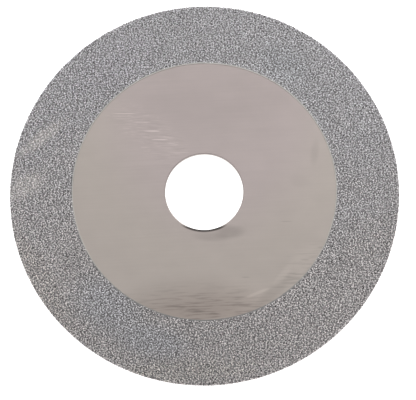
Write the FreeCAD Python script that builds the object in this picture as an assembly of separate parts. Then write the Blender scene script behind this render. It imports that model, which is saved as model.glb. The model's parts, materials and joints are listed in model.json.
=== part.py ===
# Diamond grinding wheel: a flat steel disc whose outer zone carries one layer of diamond grit, held by
# electroplated nickel on both faces and round the rim. The middle is left bare for the clamping flanges.
# The origin is the centre of the bore, midway between the faces. +Z is the axis, out of the front face.
import FreeCAD, Part
import math
import os

# Driving dimensions, in millimetres.
outer_diameter = 100.0  # over the grit on the rim
bore_diameter = 20.0  # takes the machine's arbor
core_thickness = 1.0
bore_edge_bevel = 0.20
core_rim_bevel = 0.15
bare_diameter = 67.4  # the masked middle, left bare of plating
mask_offset = 0.5  # how far the plating mask sat off the disc's axis, towards +Y
etch_depth = 0.02  # steel taken off the plated zone, to key the nickel
nickel_thickness = 0.15
nickel_edge_bevel = 0.05  # where the nickel stops at the bare middle
grit_standout = 0.10  # how far the grains stand out of the nickel
grit_edge_gap = 0.05  # from the bevelled edge of the nickel to the first grains

# Sizes that follow from them.
bore_radius = bore_diameter / 2
bare_radius = bare_diameter / 2
seat_height = core_thickness / 2
core_height = seat_height - etch_depth
nickel_height = core_height + nickel_thickness
grit_height = nickel_height + grit_standout
grit_radius = outer_diameter / 2
nickel_radius = grit_radius - grit_standout
core_radius = nickel_radius - nickel_thickness
grit_inner_radius = bare_radius + nickel_edge_bevel + grit_edge_gap

# A bevel grows by this share of the thickness when an even layer is laid over it.
bevel_growth = 2 - math.sqrt(2)
nickel_rim_bevel = core_rim_bevel + bevel_growth * nickel_thickness
grit_rim_bevel = nickel_rim_bevel + bevel_growth * grit_standout
face_grit_radius = nickel_radius - nickel_rim_bevel  # where the flat of the nickel ends


def turned(points):
    """The solid that a closed section of (radius, height) points makes, turned once about the axis."""
    corners = [FreeCAD.Vector(radius, 0, height) for radius, height in points]
    section = Part.Face(Part.makePolygon(corners + corners[:1]))
    return section.revolve(FreeCAD.Vector(0, 0, 0), FreeCAD.Vector(0, 0, 1), 360)


def disc_with_bevelled_rim(radius, height, bevel):
    """A solid disc from -height to height, which is one layer's outer surface filled in to the axis."""
    return turned(
        [
            (0, height),
            (radius - bevel, height),
            (radius, height - bevel),
            (radius, bevel - height),
            (radius - bevel, -height),
            (0, -height),
        ]
    )


def flared_plug(radius, height, bevel):
    """A round cutter from -height to height that bevels both edges of the hole it makes."""
    return turned(
        [
            (0, height),
            (radius + bevel, height),
            (radius, height - bevel),
            (radius, bevel - height),
            (radius + bevel, -height),
            (0, -height),
        ]
    )


def cylinder(radius, bottom, top):
    return Part.makeCylinder(radius, top - bottom, FreeCAD.Vector(0, 0, bottom))


def on_mask_centre(shape):
    """The shape moved from the disc's axis to the centre of the plating mask."""
    return shape.translated(FreeCAD.Vector(0, mask_offset, 0))


def plated_core():
    """The plated zone of the steel, filled in to the axis."""
    return disc_with_bevelled_rim(core_radius, core_height, core_rim_bevel)


def plated_nickel():
    """The nickel's outer surface, filled in to the axis."""
    return disc_with_bevelled_rim(nickel_radius, nickel_height, nickel_rim_bevel)


def steel_core():
    """The disc: bore with its edges broken, bare middle proud of the etched zone, bevelled rim."""
    middle = on_mask_centre(cylinder(bare_radius, -seat_height, seat_height))
    bore = flared_plug(bore_radius, seat_height, bore_edge_bevel)
    return plated_core().fuse(middle).cut(bore).removeSplitter()


def nickel_bond():
    """One deposit over the front, the rim and the back, with its edges bevelled at the bare middle."""
    masked = on_mask_centre(flared_plug(bare_radius, nickel_height, nickel_edge_bevel))
    return plated_nickel().cut(plated_core()).cut(masked)


def grit_face(bottom, top):
    """The grains of one face, as the plain ring that their tips reach."""
    ring = cylinder(face_grit_radius, bottom, top)
    return ring.cut(on_mask_centre(cylinder(grit_inner_radius, bottom, top)))


def grit_rim():
    """The grains round the rim and its bevels, as the plain hoop that their tips reach."""
    hoop = disc_with_bevelled_rim(grit_radius, grit_height, grit_rim_bevel)
    return hoop.cut(plated_nickel()).cut(cylinder(face_grit_radius, -grit_height, grit_height))


def write(node, shape):
    if not shape.isValid() or len(shape.Solids) != 1:
        raise ValueError(f"{node} is not one valid solid")
    solid = shape.Solids[0]
    solid.exportStep(f"parts/{node}.step")
    print(f"{node}: {solid.Volume:.1f} mm3")


os.makedirs("parts", exist_ok=True)
write("steel_core", steel_core())
write("nickel_bond", nickel_bond())
write("grit_front", grit_face(nickel_height, grit_height))
write("grit_rim", grit_rim())
write("grit_back", grit_face(-grit_height, -nickel_height))
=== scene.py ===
import json
import math
import bmesh
import bpy
import numpy as np
from mathutils import Matrix, Vector


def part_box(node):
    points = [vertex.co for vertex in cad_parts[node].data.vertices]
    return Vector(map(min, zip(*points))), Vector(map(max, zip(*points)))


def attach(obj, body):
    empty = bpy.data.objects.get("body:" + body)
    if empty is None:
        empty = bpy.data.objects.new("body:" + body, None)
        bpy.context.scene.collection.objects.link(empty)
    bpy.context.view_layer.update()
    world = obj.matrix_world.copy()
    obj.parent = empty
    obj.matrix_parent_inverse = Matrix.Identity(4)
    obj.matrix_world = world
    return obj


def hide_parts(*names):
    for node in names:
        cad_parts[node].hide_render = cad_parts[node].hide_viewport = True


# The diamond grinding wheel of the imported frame: a ground steel disc, the nickel that is plated round its
# outer part on both faces and the rim, and the diamond crystals that the nickel holds.
# Lengths are metres. The disc lies in X and Y, and its front face looks along +Z.
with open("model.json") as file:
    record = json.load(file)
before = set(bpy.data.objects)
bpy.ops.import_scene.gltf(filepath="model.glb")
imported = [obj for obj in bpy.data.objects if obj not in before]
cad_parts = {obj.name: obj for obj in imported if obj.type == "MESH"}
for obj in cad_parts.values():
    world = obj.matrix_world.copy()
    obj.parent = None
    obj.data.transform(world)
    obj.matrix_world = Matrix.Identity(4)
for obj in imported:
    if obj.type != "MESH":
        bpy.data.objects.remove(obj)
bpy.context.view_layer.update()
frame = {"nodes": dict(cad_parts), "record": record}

MM = 0.001
SEED = 60
rng = np.random.default_rng(SEED)


# ---------------------------------------------------------------- sizes, read from the frame
def node_points(node):
    return np.array([v.co for v in frame["nodes"][node].data.vertices])


def inner_edge(node):
    """Centre and radius of the round opening in a flat ring node: (x, y, radius)."""
    points = node_points(node)
    reach = np.hypot(points[:, 0], points[:, 1])
    near = points[reach < (reach.min() + reach.max()) / 2]
    low, high = near.min(0), near.max(0)
    middle = (low + high) / 2
    return middle[0], middle[1], (high[0] - low[0]) / 2


def inner_height(node):
    """Height of the inside of the front wall of a node that wraps round the steel."""
    heights = node_points(node)[:, 2]
    return heights[heights > SEAT_HEIGHT / 2].min()


mounts = {m["name"]: m for m in frame["record"]["mounts"]}
BORE_RADIUS = mounts["arbor_bore"]["dims"]["r_mm"] * MM
CORE_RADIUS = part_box("steel_core")[1].x
SEAT_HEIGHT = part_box("steel_core")[1].z
NICKEL_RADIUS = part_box("nickel_bond")[1].x
NICKEL_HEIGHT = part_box("nickel_bond")[1].z
TIP_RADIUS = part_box("grit_rim")[1].x
TIP_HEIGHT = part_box("grit_rim")[1].z
FACE_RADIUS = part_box("grit_front")[1].x  # where the flat of the face ends and the rim bevel starts
MASK_X, MASK_Y, GRIT_INNER_RADIUS = inner_edge("grit_front")
PLATING_RADIUS = inner_edge("nickel_bond")[2]
ETCHED_HEIGHT = inner_height("nickel_bond")
STANDOUT = TIP_HEIGHT - NICKEL_HEIGHT
RIM_BEVEL = NICKEL_RADIUS - FACE_RADIUS

CENTRE = (0, 0)
MASK_CENTRE = (MASK_X, MASK_Y)  # of the round line where the plating stops

# ---------------------------------------------------------------- sizes of the visible detail
CREASE_ANGLE = math.radians(35)  # edges sharper than this aren't shaded smooth
ROUNDING_STEPS = 4  # in the quarter round of an edge

TURNED_STEPS = 360  # round the steel disc
SEAT_RINGS = 8  # across the bare seat
BORE_EDGE = 0.20 * MM  # rounding of the bore's edges
BORE_EDGE_RING = 1.3 * BORE_EDGE  # a ring just outside the rounding, which keeps the seat's shading flat

PLATED_STEPS = 480  # round the nickel
PLATED_RINGS = 33  # across one face of the nickel
BARE_LIP = 0.10 * MM  # nickel without grains along the mask line
LIP_EDGE = 0.06 * MM  # rounding of the nickel's edge at the mask line
NICKEL_DIP = 0.08 * MM  # how much lower the nickel lies between the grains
EDGE_WAVE = 0.05 * MM  # how far the nickel's edge wanders from the mask line
EDGE_WAVES = range(9, 70)
RELIEF = 0.015 * MM  # how uneven the nickel's face is
RELIEF_WAVES = range(20, 160)

GRAIN_PITCH = 0.34 * MM
GRAIN_WIDTH = 0.39 * MM
GRAIN_SIZES = (0.80, 1.25)  # smallest and largest, as a share of the width
TIP_REACH = (0.35, 1.0)  # lowest and highest tips, as a share of the stand-out
JITTER = 0.34  # how far a grain lies off its lattice point, as a share of the pitch
STRETCH = (0.8, 1.2)  # how much longer or shorter a crystal is along each of its axes
DENT = 0.09  # how far the corners of a crystal wander, as a share of its half width
BLOCK_HALF = 0.62  # half width of a block, where an octahedron's is 1
CUT_BLOCK_HALF = 0.72
EVENING_ROUNDS = 2  # how often the grains' shades are pushed away from their neighbours'

DARK_SHARE = 0.47  # of the grains, the rest are light
LIGHTEST_DARK = 0.33  # shade of the lightest of the dark grains
DARKEST_LIGHT = 0.53  # shade of the darkest of the light grains
FACET_SPREAD = 0.2  # how much the facets of one grain differ

STRIP_ROWS = 16  # in the bake map of the rim
STRIP_MARGIN = 0.05  # left free at both sides of a row, as a share of it

# Outer radii of the bands of grains on a face, which keep each mesh from growing too large.
BANDS = {"inner": 39.8 * MM, "middle": 45.0 * MM, "outer": FACE_RADIUS}


# ---------------------------------------------------------------- meshes
def mesh_object(name, points, faces, uv=None):
    """A mesh from arrays of points and of faces that all have the same number of corners."""
    corners = faces.shape[1]
    mesh = bpy.data.meshes.new(name)
    mesh.vertices.add(len(points))
    mesh.vertices.foreach_set("co", points.astype(np.float32).ravel())
    mesh.loops.add(faces.size)
    mesh.loops.foreach_set("vertex_index", faces.astype(np.int32).ravel())
    mesh.polygons.add(len(faces))
    mesh.polygons.foreach_set("loop_start", np.arange(0, faces.size, corners, dtype=np.int32))
    mesh.update(calc_edges=True)
    mesh.validate()
    if uv is not None:
        layer = mesh.uv_layers.new(name="OFBake")
        layer.data.foreach_set("uv", uv[faces.ravel()].astype(np.float32).ravel())
    made = bpy.data.objects.new(name, mesh)
    bpy.context.scene.collection.objects.link(made)
    return made


def turns(steps):
    """The angle of each step round the disc."""
    return np.arange(steps) * 2 * math.pi / steps


def closed_loft(name, rings, steps):
    """A closed tube of rings: each is (centre, radius, height), and the last joins the first.

    The radius and the height of a ring are each a number or an array of one value for each step round it.
    """
    turn = turns(steps)
    rows = []
    for (x, y), radius, height in rings:
        rows.append(np.stack([x + radius * np.cos(turn), y + radius * np.sin(turn), height + 0 * turn], 1))
    ring, step = np.meshgrid(np.arange(len(rings)), np.arange(steps), indexing="ij")
    after, onward = (ring + 1) % len(rings), (step + 1) % steps
    corners = [ring * steps + step, ring * steps + onward, after * steps + onward, after * steps + step]
    faces = np.stack([c.ravel() for c in corners], 1)
    made = mesh_object(name, np.concatenate(rows), faces)
    made.data.shade_smooth()
    made.data.set_sharp_from_angle(angle=CREASE_ANGLE)
    return made


def rounded(start, end, corner):
    """(radius, height) points of a quarter round from start to end, in place of the corner between them."""
    made = []
    for k in range(ROUNDING_STEPS + 1):
        angle = math.pi / 2 * k / ROUNDING_STEPS
        along, across = 1 - math.sin(angle), 1 - math.cos(angle)
        made.append(tuple(c + (s - c) * along + (e - c) * across for s, e, c in zip(start, end, corner)))
    return made


def wobble(waves, size, power=0.5):
    """A smooth closed random wave round the nickel, where waves with a higher number fade by the power."""
    turn = turns(PLATED_STEPS)
    height = np.zeros(PLATED_STEPS)
    for wave in waves:
        height += rng.normal() * np.cos(wave * turn + rng.uniform(0, 2 * math.pi)) / wave**power
    return size * height / np.abs(height).max()


# ---------------------------------------------------------------- steel disc
def steel_disc():
    """The steel disc: a bore with rounded edges, bare seats, and a thinner etched part under the nickel."""
    wall = (BORE_RADIUS, SEAT_HEIGHT - BORE_EDGE)
    seat = (BORE_RADIUS + BORE_EDGE, SEAT_HEIGHT)
    edge = rounded(wall, seat, (BORE_RADIUS, SEAT_HEIGHT))
    front = [(CENTRE, radius, height) for radius, height in edge]
    front.append((CENTRE, BORE_RADIUS + BORE_EDGE_RING, SEAT_HEIGHT))
    for share in np.linspace(0, 1, SEAT_RINGS + 1)[1:]:
        radius = (1 - share) * (BORE_RADIUS + BORE_EDGE) + share * PLATING_RADIUS
        front.append(((share * MASK_X, share * MASK_Y), radius, SEAT_HEIGHT))
    front.append((MASK_CENTRE, PLATING_RADIUS, ETCHED_HEIGHT))
    front.append((CENTRE, CORE_RADIUS - RIM_BEVEL, ETCHED_HEIGHT))
    front.append((CENTRE, CORE_RADIUS, ETCHED_HEIGHT - RIM_BEVEL))
    back = [(centre, radius, -height) for centre, radius, height in reversed(front)]
    return closed_loft("steel_disc", front + back, TURNED_STEPS)


# ---------------------------------------------------------------- nickel plating
def plating_side(side):
    """Rings of one face of the nickel, from its foot at the mask line out to the rim bevel."""
    edge = PLATING_RADIUS + wobble(EDGE_WAVES, EDGE_WAVE)
    rings = [(MASK_CENTRE, edge, side * ETCHED_HEIGHT)]
    lip = rounded((0, NICKEL_HEIGHT - LIP_EDGE), (LIP_EDGE, NICKEL_HEIGHT), (0, NICKEL_HEIGHT))
    rings += [(MASK_CENTRE, edge + r, side * z) for r, z in lip]
    for share in np.linspace(0, 1, PLATED_RINGS + 1)[1:-1]:
        radius = (1 - share) * (PLATING_RADIUS + LIP_EDGE) + share * FACE_RADIUS
        centre = ((1 - share) * MASK_X, (1 - share) * MASK_Y)
        relief = wobble(RELIEF_WAVES, RELIEF, power=0.2)
        depth = NICKEL_DIP if radius > GRIT_INNER_RADIUS + BARE_LIP else 0
        rings.append((centre, radius, side * (NICKEL_HEIGHT - depth + relief)))
    rings.append((CENTRE, FACE_RADIUS - NICKEL_DIP, side * (NICKEL_HEIGHT - NICKEL_DIP)))
    rings.append((CENTRE, NICKEL_RADIUS - NICKEL_DIP, side * (NICKEL_HEIGHT - NICKEL_DIP - RIM_BEVEL)))
    return rings


def nickel_plating():
    """The plating: both faces and the rim outside, and the etched steel's shape inside."""
    inside = [
        (CENTRE, CORE_RADIUS - RIM_BEVEL, -ETCHED_HEIGHT),
        (CENTRE, CORE_RADIUS, RIM_BEVEL - ETCHED_HEIGHT),
        (CENTRE, CORE_RADIUS, ETCHED_HEIGHT - RIM_BEVEL),
        (CENTRE, CORE_RADIUS - RIM_BEVEL, ETCHED_HEIGHT),
    ]
    rings = plating_side(1) + list(reversed(plating_side(-1))) + inside
    return closed_loft("nickel_plating", rings, PLATED_STEPS)


# ---------------------------------------------------------------- crystal habits
def octahedron():
    points = np.array([(1, 0, 0), (-1, 0, 0), (0, 1, 0), (0, -1, 0), (0, 0, 1), (0, 0, -1)], float)
    faces = [(0, 2, 4), (2, 1, 4), (1, 3, 4), (3, 0, 4), (2, 0, 5), (1, 2, 5), (3, 1, 5), (0, 3, 5)]
    return points, np.array(faces)


def block():
    points = np.array([(x, y, z) for z in (-1, 1) for y in (-1, 1) for x in (-1, 1)], float) * BLOCK_HALF
    quads = [(0, 2, 3, 1), (4, 5, 7, 6), (0, 1, 5, 4), (2, 6, 7, 3), (0, 4, 6, 2), (1, 3, 7, 5)]
    faces = [half for a, b, c, d in quads for half in ((a, b, c), (a, c, d))]
    return points, np.array(faces)


def cut_block():
    """A block with its corners cut off to the middles of its edges, as well grown diamonds are."""
    signs = [(s, t) for s in (-1, 1) for t in (-1, 1)]
    corners = [(s, t, 0) for s, t in signs] + [(s, 0, t) for s, t in signs] + [(0, s, t) for s, t in signs]
    points = np.array(corners, float) * CUT_BLOCK_HALF
    return points, hull_faces(points)


def hull_faces(points):
    """The triangles of the convex hull of some points."""
    bm = bmesh.new()
    verts = [bm.verts.new(p) for p in points]
    bmesh.ops.convex_hull(bm, input=verts)
    bmesh.ops.triangulate(bm, faces=bm.faces[:])
    bm.normal_update()
    bm.verts.index_update()
    faces = [[v.index for v in f.verts] for f in bm.faces]
    bm.free()
    return np.array(faces)


HABITS = ((octahedron, 0.40), (block, 0.35), (cut_block, 0.25))  # and the share of the grains with each


# ---------------------------------------------------------------- grains
def random_turns(count):
    """Uniform random rotation matrices."""
    q = rng.normal(size=(count, 4))
    q /= np.linalg.norm(q, axis=1)[:, None]
    w, x, y, z = q.T
    rows = [
        [1 - 2 * (y * y + z * z), 2 * (x * y - z * w), 2 * (x * z + y * w)],
        [2 * (x * y + z * w), 1 - 2 * (x * x + z * z), 2 * (y * z - x * w)],
        [2 * (x * z - y * w), 2 * (y * z + x * w), 1 - 2 * (x * x + y * y)],
    ]
    return np.moveaxis(np.array(rows), 2, 0)


def crystals(count):
    """Random crystals of about unit half-width: for each habit, their points, its faces and its points."""
    counts = [int(count * share) for _, share in HABITS]
    counts[-1] = count - sum(counts[:-1])
    made = []
    for (habit, _), n in zip(HABITS, counts):
        points, faces = habit()
        stretch = rng.uniform(*STRETCH, (n, 1, 3))
        dents = rng.normal(0, DENT, (n,) + points.shape)
        turned = np.einsum("nij,nkj->nki", random_turns(n), points * stretch + dents)
        made.append((turned, faces, points))
    return made


def facet_shades(ranks, faces, points):
    """How light each face of each crystal is. The triangles of one flat facet are alike."""
    a, b, c = (points[faces[:, k]] for k in range(3))
    normals = np.cross(b - a, c - a)
    normals /= np.linalg.norm(normals, axis=1)[:, None]
    facets, facet_of = np.unique(normals.round(3), axis=0, return_inverse=True)
    dark = ranks / DARK_SHARE * LIGHTEST_DARK
    light = 1 - (1 - ranks) / (1 - DARK_SHARE) * (1 - DARKEST_LIGHT)
    grain = np.where(ranks < DARK_SHARE, dark, light)[:, None]
    shades = grain + rng.uniform(-FACET_SPREAD, FACET_SPREAD, (len(ranks), len(facets)))
    return np.clip(shades, 0, 1)[:, facet_of.ravel()].ravel()


def beside(values, axis):
    """The sum of the two neighbours of each value along an axis."""
    return np.roll(values, 1, axis) + np.roll(values, -1, axis)


def evened(shape):
    """Random values from 0 to 1 on a lattice. Neighbours differ, so no wide patch is dark or light."""
    values = rng.random(shape)
    for _ in range(EVENING_ROUNDS):
        rows = beside(values, 0)
        near = rows + beside(rows, 1) / 2 + np.roll(values, 1, 1) + np.roll(values, -1, 1)
        values = values - near / 6  # the weights in near add up to 6
    return values.ravel().argsort().argsort() / values.size


def scattered(low, high):
    """Jittered points of a triangular lattice over a rectangle, and a value from 0 to 1 for each."""
    row = GRAIN_PITCH * math.sqrt(3) / 2
    gx, gy = np.meshgrid(np.arange(low[0], high[0], GRAIN_PITCH), np.arange(low[1], high[1], row))
    gx[1::2] += GRAIN_PITCH / 2
    spots = np.stack([gx.ravel(), gy.ravel()], 1)
    return spots + rng.uniform(-JITTER, JITTER, spots.shape) * GRAIN_PITCH, evened(gx.shape)


def trued(points):
    """The points, with any past the wheel's true rim and faces brought back to them."""
    reach = np.hypot(points[..., 0], points[..., 1])
    shrink = np.minimum(1, TIP_RADIUS / reach)[..., None]
    flat = points[..., :2] * shrink
    return np.concatenate([flat, np.clip(points[..., 2:], -TIP_HEIGHT, TIP_HEIGHT)], -1)


def seated(shapes, spots, normals):
    """Crystals of random sizes, each at its spot, with its tip standing out along the normal there."""
    half = GRAIN_WIDTH / 2 * rng.uniform(*GRAIN_SIZES, len(shapes))
    local = shapes * half[:, None, None]
    reach = STANDOUT * rng.uniform(*TIP_REACH, len(shapes))
    local[:, :, 2] += (reach - local[:, :, 2].max(1))[:, None]
    upright = np.abs(normals[:, 2:3]) > 0.9
    helper = np.where(upright, [[1.0, 0, 0]], [[0, 0, 1.0]])
    across = np.cross(helper, normals)
    across /= np.linalg.norm(across, axis=1)[:, None]
    along = np.cross(normals, across)
    return trued(
        spots[:, None]
        + local[:, :, 0:1] * across[:, None]
        + local[:, :, 1:2] * along[:, None]
        + local[:, :, 2:3] * normals[:, None]
    )


def grains_on(name, spots, normals, ranks, uv_of):
    """One mesh of grains, one for each spot on the nickel. Its rank says how light a grain is."""
    order = rng.permutation(len(spots))
    spots, normals, ranks = spots[order], normals[order], ranks[order]
    all_points, all_faces, all_shades = [], [], []
    start, base = 0, 0
    for shapes, faces, plain in crystals(len(spots)):
        n, corners = shapes.shape[:2]
        here = slice(start, start + n)
        all_points.append(seated(shapes, spots[here], normals[here]).reshape(-1, 3))
        all_faces.append((faces[None] + base + np.arange(n)[:, None, None] * corners).reshape(-1, 3))
        all_shades.append(facet_shades(ranks[here], faces, plain))
        base += n * corners
        start += n
    points, faces = np.concatenate(all_points), np.concatenate(all_faces)
    made = mesh_object(name, points, faces, uv_of(points))
    shade = made.data.attributes.new("grain_shade", "FLOAT", "FACE")
    shade.data.foreach_set("value", np.concatenate(all_shades).astype(np.float32))
    return made


def plan_uv(points):
    """The bake map of a face coat: its plan, scaled to fill the map."""
    flat = points[:, :2]
    low, high = flat.min(0), flat.max(0)
    return (flat - low) / (high - low).max()


def strip_uv(points):
    """The bake map of the rim: its length cut into rows, one above the other."""
    turn = (np.arctan2(points[:, 1], points[:, 0]) / (2 * math.pi)) % 1
    row = np.floor(turn * STRIP_ROWS)
    rise = (points[:, 2] + TIP_HEIGHT) / (2 * TIP_HEIGHT)
    up = row + STRIP_MARGIN + (1 - 2 * STRIP_MARGIN) * rise
    return np.stack([turn * STRIP_ROWS - row, up / STRIP_ROWS], 1)


def face_coat(name, side, inner, outer):
    """Grains of one face, from the inner to the outer radius and outside the mask line."""
    spots, ranks = scattered((-FACE_RADIUS, -FACE_RADIUS), (FACE_RADIUS, FACE_RADIUS))
    reach = np.hypot(spots[:, 0], spots[:, 1])
    from_mask = np.hypot(spots[:, 0] - MASK_X, spots[:, 1] - MASK_Y)
    start = GRIT_INNER_RADIUS + BARE_LIP + GRAIN_WIDTH / 2
    keep = (reach < outer) & (reach >= inner) & (from_mask > start)
    spots, ranks = spots[keep], ranks[keep]
    height = np.full((len(spots), 1), side * NICKEL_HEIGHT)
    normals = np.tile([0.0, 0.0, side], (len(spots), 1))
    return grains_on(name, np.hstack([spots, height]), normals, ranks, plan_uv)


def on_rim(angle, climb, slope, wall):
    """Places and normals on the rim, from angles round it and climbs up its bevel, wall and bevel."""
    corner_run = [0, slope, slope + wall, wall + 2 * slope]
    corner_z = [-NICKEL_HEIGHT, RIM_BEVEL - NICKEL_HEIGHT, NICKEL_HEIGHT - RIM_BEVEL, NICKEL_HEIGHT]
    radius = np.interp(climb, corner_run, [FACE_RADIUS, NICKEL_RADIUS, NICKEL_RADIUS, FACE_RADIUS])
    height = np.interp(climb, corner_run, corner_z)
    lean = np.where(climb < slope, -math.pi / 4, np.where(climb > slope + wall, math.pi / 4, 0.0))
    places = np.stack([radius * np.cos(angle), radius * np.sin(angle), height], 1)
    normals = np.stack([np.cos(angle) * np.cos(lean), np.sin(angle) * np.cos(lean), np.sin(lean)], 1)
    return places, normals


def rim_coat(name):
    """Grains round the rim wall and its two bevels, scattered over the rim's unrolled strip."""
    wall = 2 * (NICKEL_HEIGHT - RIM_BEVEL)
    slope = RIM_BEVEL * math.sqrt(2)
    width, length = wall + 2 * slope, 2 * math.pi * NICKEL_RADIUS
    spots, ranks = scattered((0, 0), (length, width))
    keep = (spots[:, 1] > 0) & (spots[:, 1] < width) & (spots[:, 0] < length) & (spots[:, 0] > 0)
    spots, ranks = spots[keep], ranks[keep]
    places, normals = on_rim(spots[:, 0] / NICKEL_RADIUS, spots[:, 1], slope, wall)
    return grains_on(name, places, normals, ranks, strip_uv)


# ---------------------------------------------------------------- material helpers
def add(tree, kind, inputs=None, **settings):
    """A node with its settings, and its inputs linked to sockets or set to values."""
    made = tree.nodes.new(kind)
    for name, value in settings.items():
        setattr(made, name, value)
    for name, value in (inputs or {}).items():
        if isinstance(value, bpy.types.NodeSocket):
            tree.links.new(value, made.inputs[name])
        else:
            made.inputs[name].default_value = value
    return made


def maths(tree, operation, *values, clamp=False):
    """The result of a Math node on sockets or numbers."""
    inputs = dict(enumerate(values))
    return add(tree, "ShaderNodeMath", inputs, operation=operation, use_clamp=clamp).outputs[0]


def vector_maths(tree, operation, *values):
    """The result of a Vector Math node on sockets or vectors: a number for a length, or else a vector."""
    made = add(tree, "ShaderNodeVectorMath", dict(enumerate(values)), operation=operation)
    return made.outputs["Value" if operation == "LENGTH" else "Vector"]


def total(tree, parts):
    """The sum of sockets."""
    result = parts[0]
    for part in parts[1:]:
        result = maths(tree, "ADD", result, part)
    return result


def times(tree, first, *others):
    """The product of sockets or numbers."""
    result = first
    for other in others:
        result = maths(tree, "MULTIPLY", result, other)
    return result


def scaled(tree, colour, amount):
    """A colour times a number."""
    return add(tree, "ShaderNodeVectorMath", {0: colour, "Scale": amount}, operation="SCALE").outputs[0]


def ranged(tree, value, low, high):
    """A 0 to 1 value made to run from low to high."""
    return maths(tree, "MULTIPLY_ADD", value, high - low, low)


def between(tree, value, low, high):
    """0 where the value is at low, 1 where it is at high, smooth in between and level beyond them."""
    inputs = {"Value": value, "From Min": low, "From Max": high}
    return add(tree, "ShaderNodeMapRange", inputs, interpolation_type="SMOOTHSTEP").outputs["Result"]


def mixed(tree, share, first, second):
    """A colour between two."""
    made = add(tree, "ShaderNodeMix", {0: share}, data_type="RGBA")
    for number, colour in ((6, first), (7, second)):
        if isinstance(colour, bpy.types.NodeSocket):
            tree.links.new(colour, made.inputs[number])
        else:
            made.inputs[number].default_value = (*colour, 1)
    return made.outputs[2]


def object_place(tree):
    return add(tree, "ShaderNodeTexCoord").outputs["Object"]


def coordinate(tree, place, axis):
    return add(tree, "ShaderNodeSeparateXYZ", {"Vector": place}).outputs[axis]


def noise(tree, place, per_mm, detail=2.0, turn=0.0):
    """A 0 to 1 noise. per_mm is how often it changes along x, y and z."""
    scale = tuple(count / MM for count in per_mm)
    inputs = {"Vector": place, "Rotation": (0, 0, math.radians(turn))}
    turned = add(tree, "ShaderNodeMapping", inputs)
    inputs = {"Vector": turned.outputs[0], "Scale": scale}
    stretched = add(tree, "ShaderNodeMapping", inputs)
    inputs = {"Vector": stretched.outputs[0], "Scale": 1.0, "Detail": detail}
    return add(tree, "ShaderNodeTexNoise", inputs).outputs["Fac"]


def patch(tree, place, x, y, half_length, half_width, turn=0):
    """1 in the middle of a soft spot on the front face and 0 outside it. The sizes are in mm."""
    inputs = {
        "Vector": place,
        "Location": (x * MM, y * MM, SEAT_HEIGHT),
        "Rotation": (0, 0, math.radians(turn)),
        "Scale": (half_length * MM, half_width * MM, SEAT_HEIGHT),
    }
    local = add(tree, "ShaderNodeMapping", inputs, vector_type="TEXTURE").outputs[0]
    ball = add(tree, "ShaderNodeTexGradient", {"Vector": local}, gradient_type="SPHERICAL")
    return ball.outputs["Fac"]


def spot(tree, place, shape, softness):
    """A patch with a level middle. A softness of 1 fades from its centre, and less gives it an edge."""
    return between(tree, patch(tree, place, *shape), 0, softness)


def marks(tree, place, rows, softness):
    """The gains of marks, one socket for each row of a spot's shape and its gain."""
    return [times(tree, spot(tree, place, shape, softness), gain) for *shape, gain in rows]


def new_material(name):
    material = bpy.data.materials.new(name)
    material.use_nodes = True
    tree = material.node_tree
    return material, tree, tree.nodes["Principled BSDF"]


def add_bump(tree, shader, height, strength, distance):
    bump = add(tree, "ShaderNodeBump", {"Height": height, "Strength": strength, "Distance": distance})
    tree.links.new(bump.outputs["Normal"], shader.inputs["Normal"])


# ---------------------------------------------------------------- diamond
# The rows of all the lists below start with a spot on the front: x, y, half length and half width in mm,
# and its turn in degrees. The last number of a mark is how much lighter (or, below zero, darker) the
# surface is in the middle of the spot.

# Painted highlights and shade on the coat: light streaks of painted reflection, and broad patches of
# painted shade.
PAINTED_STREAKS_AND_SHADE = (
    (-42.2, 14.4, 9.5, 2.6, 40, 0.16),
    (-45.6, 1.4, 6.5, 4.0, 30, 0.12),
    (-44.2, 20.0, 6.0, 1.6, 52, 0.14),
    (10.3, 43.5, 5.5, 2.4, -15, 0.20),
    (41.1, 22.4, 5.5, 2.0, -15, 0.25),
    (20.5, 30.0, 5.0, 2.4, -30, 0.20),
    (-12.0, -40.0, 50.0, 30.0, 0, -0.14),
    (-4.0, 44.0, 52.0, 32.0, 0, -0.075),
)
# Where light lies on the coat like a veil. The last number is the share of the veil's colour.
VEILS = (
    (-42.2, 14.2, 10.0, 2.5, 40, 0.38),
    (-45.8, 1.4, 7.0, 4.0, 32, 0.36),
)
VEIL_COLOUR = (0.86, 0.80, 0.75)
# Painted colour casts of reflected light on the coat, which come last.
PAINTED_CASTS = (
    (-24.0, -30.0, 14.0, 9.0, -38, (0.995, 0.962, 1.02)),
    (-13.0, -38.5, 13.0, 6.0, -12, (0.99, 0.962, 1.02)),
    (-24.0, 34.0, 18.0, 9.0, 35, (1.005, 0.955, 1.03)),
    (20.0, 34.0, 10.0, 7.0, -35, (0.975, 0.963, 1.02)),
    (-42.0, -24.0, 22.0, 6.0, -60, (1.06, 0.965, 0.94)),
    (-6.0, -46.5, 26.0, 4.0, 4, (1.05, 0.965, 0.93)),
)
LOWER_TINT = (1.045, 0.963, 0.965)
UPPER_TINT = (1.0, 0.960, 1.012)
TINT_RISE = 60 * MM  # how far up from the centre the lower tint turns into the upper one

DARK_GRAIN = (0.020, 0.007, 0.008, 1)
MIDDLE_GRAIN = (0.50, 0.50, 0.50, 1)
LIGHT_GRAIN = (0.972, 0.998, 0.980, 1)


def grain_colour(tree):
    """Each facet's own grey, from the shade that its grain was given."""
    shade = add(tree, "ShaderNodeAttribute", attribute_name="grain_shade").outputs["Fac"]
    ramp = add(tree, "ShaderNodeValToRGB", {"Fac": shade})
    elements = ramp.color_ramp.elements
    elements[0].color = DARK_GRAIN
    elements[1].color = LIGHT_GRAIN
    elements.new(0.5).color = MIDDLE_GRAIN
    return ramp.outputs["Color"]


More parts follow.
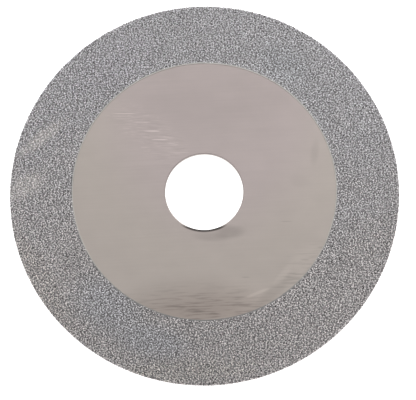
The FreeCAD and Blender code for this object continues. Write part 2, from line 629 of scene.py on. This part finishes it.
def coat_tint(tree, place):
    """Painted colour casts: warm below and cooler above, with an uneven change between, and the casts over
    that.
    """
    drift = noise(tree, place, per_mm=(0.08, 0.08, 0.08))
    up = maths(tree, "MULTIPLY_ADD", drift, TINT_RISE, coordinate(tree, place, "Y"))
    tint = mixed(tree, between(tree, up, 0, TINT_RISE), LOWER_TINT, UPPER_TINT)
    for *shape, cast in PAINTED_CASTS:
        tint = mixed(tree, spot(tree, place, shape, softness=0.6), tint, cast)
    return tint


def diamond_material():
    """Diamond crystals: each its own grey, in faint blue and warm clouds of painted colour cast, under
    painted highlights, shade and a veil of painted light, with glossy faces.
    """
    material, tree, shader = new_material("diamond")
    place = object_place(tree)
    clouds = ranged(tree, noise(tree, place, per_mm=(0.10, 0.10, 0.10), detail=3.0), 0.88, 1.08)
    tone = total(tree, [clouds] + marks(tree, place, PAINTED_STREAKS_AND_SHADE, softness=1.0))
    tint = scaled(tree, coat_tint(tree, place), tone)
    colour = vector_maths(tree, "MULTIPLY", grain_colour(tree), tint)
    veil = total(tree, marks(tree, place, VEILS, softness=0.6))
    tree.links.new(mixed(tree, veil, colour, VEIL_COLOUR), shader.inputs["Base Color"])
    shader.inputs["Roughness"].default_value = 0.22
    shader.inputs["IOR"].default_value = 1.7
    return material


# ---------------------------------------------------------------- nickel
NICKEL_SHADE_BETWEEN_GRAINS = ((0.15, 0.15, 0.15), (0.35, 0.35, 0.35))  # painted shade down between the grains, and on the nodules there
NICKEL_BRIGHT = ((0.46, 0.44, 0.41), (0.58, 0.56, 0.53))  # along the lip, and on the nodules there
NICKEL_SHADED = (0.27, 0.26, 0.25)  # painted shade on the lip at the near side
SHADED_FROM, SHADED_TO = -10 * MM, -34 * MM  # where the lip turns from bright to painted shade, along Y


def nickel_material():
    """Matt nickel plate with a fine nodular grain, with painted shade down between the grains, so brighter
    at its edges, and painted shade on the lip at the near side.
    """
    material, tree, shader = new_material("nickel_plate")
    place = object_place(tree)
    nodules = noise(tree, place, per_mm=(9, 9, 9), detail=3.0)
    height = maths(tree, "ABSOLUTE", coordinate(tree, place, "Z"))
    raised = between(tree, height, NICKEL_HEIGHT - 0.6 * NICKEL_DIP, NICKEL_HEIGHT - 0.2 * NICKEL_DIP)
    lit = between(tree, coordinate(tree, place, "Y"), SHADED_TO, SHADED_FROM)
    bright = mixed(tree, lit, NICKEL_SHADED, mixed(tree, nodules, *NICKEL_BRIGHT))
    colour = mixed(tree, raised, mixed(tree, nodules, *NICKEL_SHADE_BETWEEN_GRAINS), bright)
    tree.links.new(colour, shader.inputs["Base Color"])
    shader.inputs["Metallic"].default_value = 1.0
    shader.inputs["Roughness"].default_value = 0.35
    add_bump(tree, shader, nodules, strength=0.6, distance=0.05 * MM)
    return material


# ---------------------------------------------------------------- steel
# Fine lines of the grinding that stand out from the rest.
SCRATCHES = (
    (-20.8, 20.8, 3.6, 0.17, 0, 0.26),
    (-21.0, 20.1, 3.3, 0.15, 0, 0.10),
    (-21.4, 19.5, 3.0, 0.15, 0, 0.08),
    (-16.4, 18.5, 2.4, 0.14, -1, 0.12),
    (-13.6, 16.1, 2.7, 0.17, 0, 0.34),
    (-11.6, 13.8, 2.7, 0.17, 0, 0.34),
    (-9.8, 14.4, 3.0, 0.15, -2, 0.12),
    (-8.2, 12.7, 2.0, 0.16, -10, 0.16),
    (-6.6, 10.4, 3.4, 0.14, -1, 0.15),
    (-10.2, 15.0, 2.4, 0.13, 1, -0.10),
    (-17.6, 19.4, 2.0, 0.13, 2, -0.12),
    (-19.6, 18.0, 1.6, 0.13, 0, 0.10),
    (-13.8, 15.5, 2.2, 0.25, 0, -0.07),
    (-7.0, 11.4, 2.6, 0.30, 0, -0.07),
    (30.4, -14.7, 2.0, 0.18, 0, -0.14),
    (25.7, -17.8, 1.4, 0.20, 0, -0.16),
    (21.0, -7.8, 1.8, 0.18, 0, -0.12),
    (10.6, -22.3, 1.3, 0.18, 0, -0.14),
)
# Stains, and painted soft reflections and shade.
STAINS_AND_PAINTED_LIGHT = (
    (6.6, -10.6, 5.2, 2.3, 3, -0.19),
    (1.8, -11.9, 6.0, 1.5, -3, -0.12),
    (-5.0, -28.0, 20.0, 8.0, 0, -0.10),
    (18.0, -25.8, 9.0, 2.0, 42, -0.10),
    (2.0, -34.0, 30.0, 10.0, 0, -0.12),
    (3.0, 30.0, 38.0, 22.0, 0, -0.09),
    (28.4, 10.4, 1.5, 4.6, -8, -0.08),
    (24.5, 3.0, 3.5, 2.5, 0, -0.04),
    (28.5, 1.0, 10.0, 21.0, 0, 0.03),
    (13.6, -26.4, 4.6, 0.6, 22, 0.13),
    (20.0, -21.8, 5.0, 1.3, 52, 0.07),
    (25.0, -19.0, 9.0, 4.0, 50, 0.06),
)
# Areas of the seat, each a spot.
RUBBED = (-14, 15.5, 16, 6, -38)
HAIRLINED = (-15, 16, 17, 6, -38)
SCORED_BELOW = (1, -34, 31, 12)
SCORED_BESIDE = (26, -22, 12, 8, 45)
PINKISH = (2, 24, 36, 44)
BROWNISH = (1, -36, 30, 16)

STEEL = (0.502, 0.449, 0.413)
PINKISH_STEEL = (0.506, 0.439, 0.426)
BROWNISH_STEEL = (0.505, 0.435, 0.395)


def rubbed_gains(tree, place):
    """The rubbed area beside the bore: broad streaks, and hairlines that catch the light."""
    streaks = ranged(tree, noise(tree, place, per_mm=(0.25, 2.2, 0.25), detail=3.0, turn=2), -0.25, 0.25)
    lines = between(tree, noise(tree, place, per_mm=(0.30, 4.2, 0.30)), 0.60, 0.68)
    return [
        times(tree, streaks, patch(tree, place, *RUBBED)),
        times(tree, lines, spot(tree, place, HAIRLINED, softness=0.4), 0.13),
    ]


def scored_gain(tree, place):
    """The dark scoring along the near edge of the seat."""
    lines = between(tree, noise(tree, place, per_mm=(0.16, 1.9, 0.2), detail=3.0, turn=-2), 0.46, 0.68)
    below = spot(tree, place, SCORED_BELOW, softness=0.7)
    beside_it = patch(tree, place, *SCORED_BESIDE)
    return times(tree, lines, maths(tree, "ADD", below, beside_it, clamp=True), -0.28)


def bore_painted_shade(tree, place):
    """Painted shade at the bore's edge: a thin dark line all round, and a darker crescent at the near side
    of the front.
    """
    flat = vector_maths(tree, "MULTIPLY", place, (1, 1, 0))
    reach = vector_maths(tree, "LENGTH", flat)
    line = between(tree, reach, BORE_RADIUS + 0.35 * MM, BORE_RADIUS + 0.10 * MM)
    edge = between(tree, reach, BORE_RADIUS + 0.75 * MM, BORE_RADIUS + 0.45 * MM)
    near = between(tree, coordinate(tree, place, "Y"), -0.84 * BORE_RADIUS, -0.96 * BORE_RADIUS)
    height = coordinate(tree, place, "Z")
    front = between(tree, height, SEAT_HEIGHT - 1.2 * BORE_EDGE, SEAT_HEIGHT - 0.8 * BORE_EDGE)
    return [times(tree, line, -0.25), times(tree, edge, times(tree, near, front), -0.72)]


def steel_tone(tree, place, brushing):
    """How light the ground steel is from place to place, about 1."""
    clouds = noise(tree, place, per_mm=(0.16, 0.22, 0.16), detail=4.0)
    parts = [ranged(tree, brushing, 0.96, 1.04), ranged(tree, clouds, -0.05, 0.05)]
    parts += marks(tree, place, SCRATCHES, softness=0.5)
    parts += marks(tree, place, STAINS_AND_PAINTED_LIGHT, softness=0.7)
    parts += rubbed_gains(tree, place)
    parts.append(scored_gain(tree, place))
    parts += bore_painted_shade(tree, place)
    return total(tree, parts)


def steel_material():
    """Ground steel: brushed along X, with scratches, stains, painted reflections and shade, and a dark line
    of painted shade round the bore.
    """
    material, tree, shader = new_material("ground_steel")
    place = object_place(tree)
    brushing = noise(tree, place, per_mm=(0.04, 2.6, 0.04), detail=4.0, turn=-3)
    colour = mixed(tree, spot(tree, place, PINKISH, softness=0.5), STEEL, PINKISH_STEEL)
    colour = mixed(tree, spot(tree, place, BROWNISH, softness=0.7), colour, BROWNISH_STEEL)
    tree.links.new(scaled(tree, colour, steel_tone(tree, place, brushing)), shader.inputs["Base Color"])
    shader.inputs["Metallic"].default_value = 1.0
    tree.links.new(ranged(tree, brushing, 0.25, 0.37), shader.inputs["Roughness"])
    add_bump(tree, shader, brushing, strength=0.25, distance=0.01 * MM)
    return material


# ---------------------------------------------------------------- the object
def place_piece(piece, material, slot, *nodes):
    """Gives a piece its finish, and puts it on the wheel's body in place of its CAD nodes."""
    piece.data.materials.append(material)
    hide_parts(*nodes)
    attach(piece, "root")


diamond = diamond_material()
place_piece(steel_disc(), steel_material(), "steel", "steel_core")
place_piece(nickel_plating(), nickel_material(), "nickel", "nickel_bond")
for side, node in ((1, "grit_front"), (-1, "grit_back")):
    start = 0
    for band, end in BANDS.items():
        coat = face_coat(node.replace("grit", "grains") + "_" + band, side, start, end)
        place_piece(coat, diamond, "diamond_grit", node)
        start = end
place_piece(rim_coat("grains_rim"), diamond, "diamond_grit", "grit_rim")

# ---------------------------------------------------------------- floor, light and camera
FLOOR_HALF = 2.0
FLOOR_COLOUR = (0.9, 0.9, 0.9, 1)
FLOOR_GLOW = 0.8
PALE_ROUND = (1.25, 1.25, 1.25)
PALE_OVERHEAD = (0.30, 0.30, 0.30)

CAMERA_DISTANCE = 0.525
CAMERA_TILT = math.radians(13.25)  # from straight above, toward -Y
CAMERA_SWING = math.radians(5.65)  # round the axis, toward +X
CAMERA_LENS = 177.4
AIM = Vector((0.99 * MM, -2.19 * MM, SEAT_HEIGHT))


def floor():
    """A wide white floor under the disc."""
    corners = np.array([(-1, -1, 0), (1, -1, 0), (1, 1, 0), (-1, 1, 0)]) * FLOOR_HALF
    made = mesh_object("floor", corners - (0, 0, TIP_HEIGHT), np.array([(0, 1, 2, 3)]))
    material, _, shader = new_material("white_floor")
    shader.inputs["Base Color"].default_value = FLOOR_COLOUR
    shader.inputs["Roughness"].default_value = 0.9
    shader.inputs["Emission Color"].default_value = (1, 1, 1, 1)
    shader.inputs["Emission Strength"].default_value = FLOOR_GLOW
    made.data.materials.append(material)


def softbox(name, azimuth, elevation, distance, size, radiance):
    """A rectangular light aimed at the disc. Azimuth 0 is behind the disc, at +Y, and 90 is at +X."""
    turn, rise = math.radians(azimuth), math.radians(elevation)
    back = Vector((math.sin(turn) * math.cos(rise), math.cos(turn) * math.cos(rise), math.sin(rise)))
    data = bpy.data.lights.new(name, "AREA")
    data.shape = "RECTANGLE"
    data.size, data.size_y = size
    data.energy = radiance * math.pi * size[0] * size[1]
    made = bpy.data.objects.new(name, data)
    made.location = distance * back
    made.rotation_mode = "QUATERNION"
    made.rotation_quaternion = back.to_track_quat("Z", "Y")
    bpy.context.scene.collection.objects.link(made)


def studio_world():
    """Pale all round, and darker overhead."""
    world = bpy.data.worlds.new("studio")
    world.use_nodes = True
    tree = world.node_tree
    outward = add(tree, "ShaderNodeTexCoord").outputs["Generated"]
    colour = mixed(tree, coordinate(tree, outward, "Z"), PALE_ROUND, PALE_OVERHEAD)
    tree.links.new(colour, tree.nodes["Background"].inputs["Color"])
    bpy.context.scene.world = world


def camera():
    """A long lens that looks down on the disc, tilted a little from straight above."""
    side = math.sin(CAMERA_TILT)
    out = Vector((math.sin(CAMERA_SWING) * side, -math.cos(CAMERA_SWING) * side, math.cos(CAMERA_TILT)))
    right = (Vector((1, 0, 0)) - out.x * out).normalized()
    up = out.cross(right)
    data = bpy.data.cameras.new("camera")
    data.lens = CAMERA_LENS
    made = bpy.data.objects.new("camera", data)
    turn = Matrix((right, up, out)).transposed().to_4x4()
    made.matrix_world = Matrix.Translation(AIM + CAMERA_DISTANCE * out) @ turn
    bpy.context.scene.collection.objects.link(made)
    bpy.context.scene.camera = made


floor()
softbox("key_softbox", azimuth=-10, elevation=74, distance=1.0, size=(1.0, 1.0), radiance=0.44)
softbox("back_softbox", azimuth=14, elevation=43, distance=0.42, size=(0.66, 0.19), radiance=2.42)
studio_world()
camera()
bpy.context.scene.view_settings.view_transform = "Standard"
